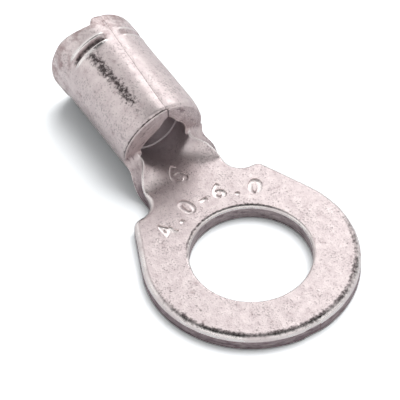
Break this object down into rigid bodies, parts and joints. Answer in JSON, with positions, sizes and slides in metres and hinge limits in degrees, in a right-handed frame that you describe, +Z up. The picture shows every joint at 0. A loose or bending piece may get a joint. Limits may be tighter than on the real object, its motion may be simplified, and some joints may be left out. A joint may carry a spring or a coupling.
{
  "type": "ring terminal",
  "caption": "Ring terminal stamped and rolled from one metal strip: a flat ring for a stud and an open-ended barrel that is crimped on a bare wire.",
  "frame": {"origin": "centre of the stud hole at the underside of the tongue", "axes": "+X from the stud hole along the wire barrel, +Z up through the tongue, so the wire barrel rises above the tongue's underside; +Y completes the frame across the ring"},
  "size_m": [0.0226, 0.012, 0.0053],
  "materials": {
    "tin_plate": "satin matte tin plate on copper"
  },
  "bodies": {
    "root": {"ring_terminal": "tin_plate"}
  },
  "joints": []
}
